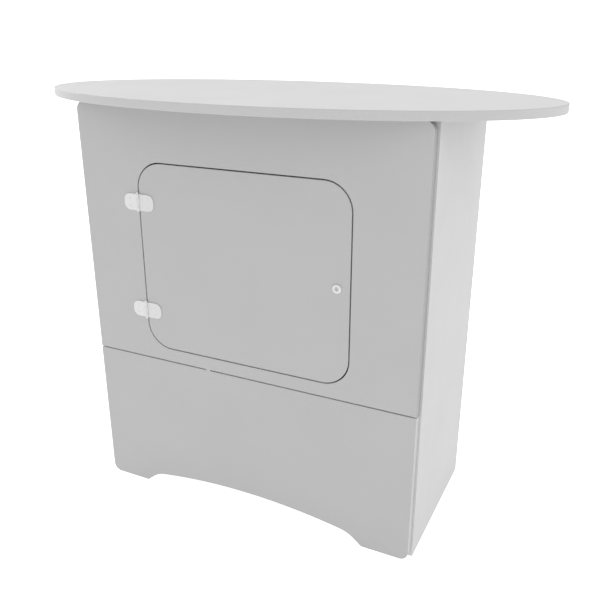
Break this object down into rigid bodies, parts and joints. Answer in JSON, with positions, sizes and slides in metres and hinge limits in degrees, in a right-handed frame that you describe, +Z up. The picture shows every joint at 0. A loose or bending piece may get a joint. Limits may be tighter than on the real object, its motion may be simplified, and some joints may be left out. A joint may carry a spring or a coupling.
{
  "type": "service counter",
  "caption": "Free-standing service counter with an oval worktop, arched base panels and, on the staff side, a hinged lockable door to a shelved cabinet.",
  "frame": {"origin": "on the floor, under the middle of the oval worktop", "axes": "+Z up, +X along the worktop's length, -Y towards the staff, on whose side the door is"},
  "size_m": [1.2, 0.6, 0.972],
  "materials": {
    "panel_face": "white-grey melamine facing on 19 mm board, satin",
    "side_face": "white-grey melamine facing on 19 mm board with eased edges, satin",
    "worktop": "white laminate on 18 mm board, satin",
    "inner_board": "pale grey unfaced board and battens, matt",
    "hinge_plastic": "moulded white nylon, satin",
    "lock_metal": "satin plated zinc",
    "steel": "bright zinc-plated steel",
    "spacer_plastic": "moulded pale grey plastic, matt"
  },
  "bodies": {
    "carcass": {"upper_panel": "panel_face", "lower_panel": "panel_face", "customer_panel": "panel_face", "left_side_panel": "side_face", "right_side_panel": "side_face", "counter_top": "worktop", "adjustable_shelf": "inner_board", "cabinet_floor": "inner_board", "door_stop_upper": "inner_board", "door_stop_lower": "inner_board", "floor_cleat_left": "inner_board", "floor_cleat_right": "inner_board", "top_rail_front": "inner_board", "top_rail_rear": "inner_board", "corner_post_front_left": "inner_board", "corner_post_front_right": "inner_board", "corner_post_rear_left": "inner_board", "corner_post_rear_right": "inner_board", "upper_hinge_frame_leaf": "hinge_plastic", "upper_hinge_pin": "hinge_plastic", "upper_hinge_frame_screw_top": "hinge_plastic", "upper_hinge_frame_screw_bottom": "hinge_plastic", "lower_hinge_frame_leaf": "hinge_plastic", "lower_hinge_pin": "hinge_plastic", "lower_hinge_frame_screw_top": "hinge_plastic", "lower_hinge_frame_screw_bottom": "hinge_plastic", "strike_plate": "steel", "strike_screw_upper": "steel", "strike_screw_lower": "steel", "shelf_pin_front_left": "steel", "shelf_pin_front_right": "steel", "shelf_pin_rear_left": "steel", "shelf_pin_rear_right": "steel", "top_screw_front_left": "steel", "top_screw_front_right": "steel", "top_screw_rear_left": "steel", "top_screw_rear_right": "steel", "seam_dowel": "spacer_plastic", "seam_spacer": "spacer_plastic"},
    "door": {"door_panel": "panel_face", "lock_body": "lock_metal", "lock_nut": "steel", "upper_hinge_door_leaf": "hinge_plastic", "upper_hinge_door_screw_top": "hinge_plastic", "upper_hinge_door_screw_bottom": "hinge_plastic", "lower_hinge_door_leaf": "hinge_plastic", "lower_hinge_door_screw_top": "hinge_plastic", "lower_hinge_door_screw_bottom": "hinge_plastic"},
    "lock_core": {"lock_plug": "lock_metal", "lock_cam": "steel", "cam_screw": "steel"}
  },
  "joints": [
    {"name": "door_hinge", "type": "hinge", "parent": "carcass", "child": "door", "pos_m": [-0.255, -0.21235, 0.6129], "axis": [0, 0, -1], "range_deg": [0, 170]},
    {"name": "lock_turn", "type": "hinge", "parent": "door", "child": "lock_core", "pos_m": [0.2257, -0.20775, 0.6129], "axis": [0, 1, 0], "range_deg": [0, 90]}
  ]
}
